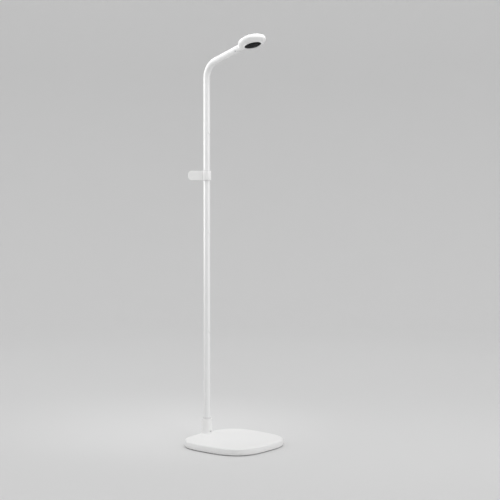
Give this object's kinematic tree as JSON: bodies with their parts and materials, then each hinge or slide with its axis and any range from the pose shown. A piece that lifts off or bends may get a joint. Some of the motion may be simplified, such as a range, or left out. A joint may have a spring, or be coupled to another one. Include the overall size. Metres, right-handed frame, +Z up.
{
  "type": "adjustable floor lamp",
  "caption": "Slim floor lamp: squircle weighted base, sectional pole, bent arm, tilting disc head with a round dark window, and a sliding clip.",
  "frame": {"origin": "middle of the base's underside, on the floor", "axes": "+Z up the pole; the pole stands near the back edge at +Y and the arm points forward to -Y"},
  "size_m": [0.3296, 0.3541, 1.5261],
  "materials": {
    "cover_plastic": "satin moulded white",
    "white_paint": "white powder coat",
    "button_plastic": "white moulded button",
    "liner_plastic": "pale grey bush",
    "plate_plastic": "black moulded plate",
    "black_plastic": "black moulded",
    "steel": "zinc plated",
    "ballast_steel": "dark primed steel plate",
    "pad_rubber": "matt black rubber",
    "cable_jacket": "matt cable jacket",
    "smoked_window": "polished black",
    "lens_glass": "coated glass",
    "circuit_board": "dark solder mask",
    "emitter": "emitter packages",
    "aluminium": "anodised"
  },
  "bodies": {
    "stand": {"base_cover": "cover_plastic", "base_pad": "pad_rubber", "bottom_plate": "plate_plastic", "ballast_plate": "ballast_steel", "base_screws": "steel", "pole_socket": "steel", "set_screw": "steel", "cord_gland": "black_plastic", "inner_cable": "cable_jacket", "lower_tube": "white_paint", "middle_tube": "white_paint", "upper_tube": "white_paint", "bent_tube": "white_paint", "lower_spigot": "steel", "middle_spigot": "steel", "upper_spigot": "steel", "lower_spring": "steel", "middle_spring": "steel", "upper_spring": "steel", "arm_spring": "steel", "arm_tube": "white_paint", "arm_tongue": "white_paint", "tongue_screw": "steel", "tilt_washers": "steel"},
    "low_button": {"lower_button": "button_plastic"},
    "mid_button": {"middle_button": "button_plastic"},
    "top_button": {"upper_button": "button_plastic"},
    "release_button": {"arm_button": "button_plastic"},
    "clip_slider": {"clip_bush": "liner_plastic"},
    "clip": {"clip_collar": "cover_plastic", "clip_rivet": "button_plastic"},
    "head": {"tilt_pin": "steel", "head_fork": "cover_plastic", "head_crown": "cover_plastic", "head_belly": "cover_plastic", "window_trim": "cover_plastic", "window": "smoked_window", "window_gasket": "pad_rubber", "lens_barrel": "aluminium", "lens": "lens_glass", "emitter_board": "circuit_board", "emitters": "emitter", "heat_sink": "aluminium", "driver_board": "circuit_board", "head_screws": "steel"}
  },
  "joints": [
    {"name": "low_button_press", "type": "slide", "parent": "stand", "child": "low_button", "axis": [0, 1, 0], "range_m": [0, 0.0035], "stiffness_N_per_m": 1500, "springref_m": -0.001, "deforming": ["lower_spring"]},
    {"name": "mid_button_press", "type": "slide", "parent": "stand", "child": "mid_button", "axis": [0, 1, 0], "range_m": [0, 0.0035], "stiffness_N_per_m": 1500, "springref_m": -0.001, "deforming": ["middle_spring"]},
    {"name": "top_button_press", "type": "slide", "parent": "stand", "child": "top_button", "axis": [0, 1, 0], "range_m": [0, 0.0035], "stiffness_N_per_m": 1500, "springref_m": -0.001, "deforming": ["upper_spring"]},
    {"name": "release_button_press", "type": "slide", "parent": "stand", "child": "release_button", "axis": [0, 0.28, 0.96], "range_m": [0, 0.0035], "stiffness_N_per_m": 1500, "springref_m": -0.001, "deforming": ["arm_spring"]},
    {"name": "clip_slide", "type": "slide", "parent": "stand", "child": "clip_slider", "axis": [0, 0, 1], "range_m": [-0.19, 0.13]},
    {"name": "clip_turn", "type": "hinge", "parent": "clip_slider", "child": "clip", "pos_m": [0, 0.14, 1.0185], "axis": [0, 0, 1], "continuous": true},
    {"name": "head_tilt", "type": "hinge", "parent": "stand", "child": "head", "pos_m": [0, -0.02272, 1.48596], "axis": [1, 0, 0], "range_deg": [-40, 40]}
  ]
}
